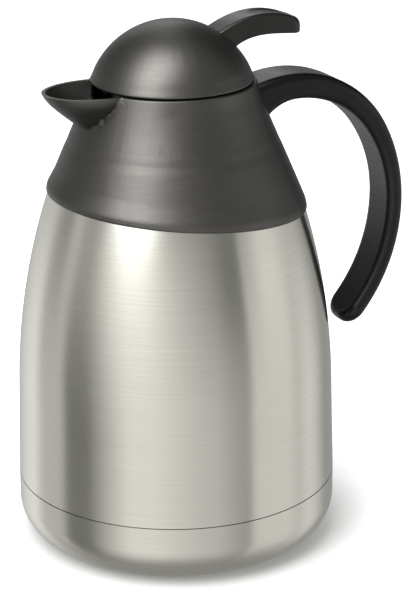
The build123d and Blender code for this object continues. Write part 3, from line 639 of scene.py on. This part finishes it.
studio = {
    "floorSize": 12.0,
    "floorColour": (0.86, 0.86, 0.86),
    "nearGlow": 0.06, "farGlow": 0.66, "glowStart": 0.056, "glowEnd": 0.115,
    # the painted glow's centre sits off towards the lamp, so the glow starts nearer the base on the
    # shadow side and cuts the cast shadow short there, and leaves more of the floor's own shade on the
    # lamp side
    "glowCentre": (-0.007, -0.004, 0.0),
    "worldLevel": 0.36,
    "roofTone": 0.30, "groundTone": 0.34,
    # heights over which each layer of the surroundings takes over: -1 is down, 1 is up
    "highRange": (-0.28, 0.14), "skyRange": (0.20, 0.36),
    "roofRange": (0.80, 0.97), "groundRange": (-0.45, -0.95),
}
# large softbox in front and to the left; its light fades out towards its edges
keyLamp = {
    "compass": 207.0, "height": 52.0, "distance": 1.7, "width": 2.1, "tall": 2.9, "power": 120.0,
    "fadeStart": {"X": 0.0, "Y": 0.35},    # from the middle, 1 is the edge
}
# panels and walls round the studio, as steel and plastic mirror them: (from, to, tone) by compass
# angle, from the handle side towards the back, with an even change of tone in between
lowPanels = (
    (0, 3, 0.86), (24, 70, 0.38), (114, 122, 1.02), (132, 153, 0.64), (161, 179, 0.21),
    (212, 230, 1.00), (267, 273, 0.72), (299, 300, 0.42), (304, 337, 0.84), (342, 346, 0.70),
    (356, 360, 0.86),
)
highPanels = (
    (0, 1, 0.50), (30, 43, 0.15), (79, 81, 0.50), (94, 101, 0.32), (116, 123, 0.46),
    (136, 144, 0.31), (154, 159, 0.69), (164, 174, 0.50), (205, 223, 1.18), (254, 256, 0.64),
    (287, 298, 0.19), (302, 308, 0.64), (319, 332, 0.96), (359, 360, 0.50),
)
skyPanels = (
    (0, 51, 0.06), (65, 74, 1.40), (97, 117, 0.20), (198, 246, 0.34), (280, 315, 0.26),
    (347, 349, 0.38), (359, 360, 0.06),
)


# one ring of grey panels round the compass
def compassTones(tree, turn, panels):
    node = addNode(tree, "ShaderNodeValToRGB")
    ramp = node.color_ramp
    edges = [(edge, tone) for start, end, tone in panels for edge in (start, end)]
    for compass, _ in edges[1:-1]:
        ramp.elements.new(compass / 360)
    for stop, (compass, tone) in zip(ramp.elements, edges):
        stop.position = compass / 360
        stop.color = (tone, tone, tone, 1)
    connect(tree, turn, node.inputs[0])
    return node.outputs["Color"]


def addBackground(tree, colour, strength=1.0):
    node = addNode(tree, "ShaderNodeBackground")
    feed(tree, colour, node.inputs["Color"])
    node.inputs["Strength"].default_value = strength
    return node.outputs[0]


def mixShaders(tree, share, first, second):
    node = addNode(tree, "ShaderNodeMixShader")
    for socket, source in zip(node.inputs, (share, first, second)):
        connect(tree, source, socket)
    return node.outputs[0]


def makeWorld():
    world = bpy.data.worlds.new("softStudio")
    world.use_nodes = True
    scene.world = world
    tree = world.node_tree
    tree.nodes.clear()
    output = addNode(tree, "ShaderNodeOutputWorld")
    direction = addNode(tree, "ShaderNodeTexCoord")
    parts = addNode(tree, "ShaderNodeSeparateXYZ")
    connect(tree, direction.outputs["Generated"], parts.inputs[0])
    angle = mathNode(tree, "ARCTAN2", parts.outputs["Y"], parts.outputs["X"])
    turn = mathNode(tree, "FRACT", mathNode(tree, "DIVIDE", angle, 2 * pi))
    # low panels, then high ones, what hangs above them, the roof and the ground, each by height
    tones = compassTones(tree, turn, lowPanels)
    for layer, heights in (
        (compassTones(tree, turn, highPanels), studio["highRange"]),
        (compassTones(tree, turn, skyPanels), studio["skyRange"]),
        ((studio["roofTone"],) * 3 + (1,), studio["roofRange"]),
        ((studio["groundTone"],) * 3 + (1,), studio["groundRange"]),
    ):
        share = rampValue(tree, parts.outputs["Z"], 0.0, 1.0, heights, "SMOOTHSTEP")
        tones = mixColour(tree, share, tones, layer)
    white = (1, 1, 1, 1)
    rays = addNode(tree, "ShaderNodeLightPath")
    camera, through = rays.outputs["Is Camera Ray"], rays.outputs["Is Transmission Ray"]
    direct = mathNode(tree, "MAXIMUM", camera, through)
    soft = addBackground(tree, white, studio["worldLevel"])
    mirrored = addBackground(tree, tones)
    unseen = mixShaders(tree, rays.outputs["Is Glossy Ray"], soft, mirrored)
    seen = addBackground(tree, white)
    connect(tree, mixShaders(tree, direct, unseen, seen), output.inputs["Surface"])


def makeFloor():
    bm = bmesh.new()
    bmesh.ops.create_grid(bm, x_segments=1, y_segments=1, size=studio["floorSize"] / 2)
    mesh = bpy.data.meshes.new("studioFloor")
    bm.to_mesh(mesh)
    bm.free()
    floor = bpy.data.objects.new("studioFloor", mesh)
    scene.collection.objects.link(floor)
    material = bpy.data.materials.new("paleFloor")
    material.use_nodes = True
    tree = material.node_tree
    tree.nodes.clear()
    output = addNode(tree, "ShaderNodeOutputMaterial")
    paint = addNode(tree, "ShaderNodeBsdfDiffuse")
    paint.inputs["Color"].default_value = (*studio["floorColour"], 1)
    glow = addNode(tree, "ShaderNodeEmission")
    rays = addNode(tree, "ShaderNodeLightPath")
    # painted glow, seen by the camera only: white away from the object, its own colour and shadow close
    # to it, so where the glow starts shapes the shade round the base
    place = addNode(tree, "ShaderNodeTexCoord")
    reach = addNode(tree, "ShaderNodeVectorMath", operation="DISTANCE")
    connect(tree, place.outputs["Object"], reach.inputs[0])
    reach.inputs[1].default_value = studio["glowCentre"]
    glowRange = (studio["glowStart"], studio["glowEnd"])
    level = rampValue(
        tree, reach.outputs["Value"], studio["nearGlow"], studio["farGlow"], glowRange, "SMOOTHSTEP",
    )
    seenGlow = mathNode(tree, "MULTIPLY", rays.outputs["Is Camera Ray"], level)
    connect(tree, seenGlow, glow.inputs["Strength"])
    both = addNode(tree, "ShaderNodeAddShader")
    connect(tree, paint.outputs[0], both.inputs[0])
    connect(tree, glow.outputs[0], both.inputs[1])
    connect(tree, both.outputs[0], output.inputs["Surface"])
    mesh.materials.append(material)
    floor.visible_glossy = False


def addLamp(name, lamp):
    data = bpy.data.lights.new(name, "AREA")
    data.shape = "RECTANGLE"
    data.size = lamp["width"]
    data.size_y = lamp["tall"]
    data.energy = lamp["power"]
    data.use_nodes = True
    tree = data.node_tree
    glow = tree.nodes["Emission"]
    across = addNode(tree, "ShaderNodeNewGeometry")
    parts = addNode(tree, "ShaderNodeSeparateXYZ")
    connect(tree, across.outputs["Parametric"], parts.inputs[0])
    # full in the middle, nothing at the rim
    fades = []
    for axis, start in lamp["fadeStart"].items():
        fromMiddle = mathNode(tree, "MULTIPLY_ADD", parts.outputs[axis], 2.0, -1.0)
        offset = mathNode(tree, "ABSOLUTE", fromMiddle)
        fades.append(rampValue(tree, offset, 1.0, 0.0, (start, 1.0), "SMOOTHSTEP"))
    connect(tree, mathNode(tree, "MULTIPLY", *fades), glow.inputs["Strength"])
    softbox = bpy.data.objects.new(name, data)
    scene.collection.objects.link(softbox)
    compass = radians(lamp["compass"])
    height = radians(lamp["height"])
    away = Vector((cos(compass) * cos(height), sin(compass) * cos(height), sin(height)))
    centre = (cadBox[0] + cadBox[1]) / 2
    softbox.rotation_mode = "QUATERNION"
    softbox.rotation_quaternion = (-away).to_track_quat("-Z", "Y")
    softbox.location = centre + away * lamp["distance"]


makeWorld()
makeFloor()
addLamp("keyLamp", keyLamp)
scene.view_settings.view_transform = "Standard"
print("studio lit")
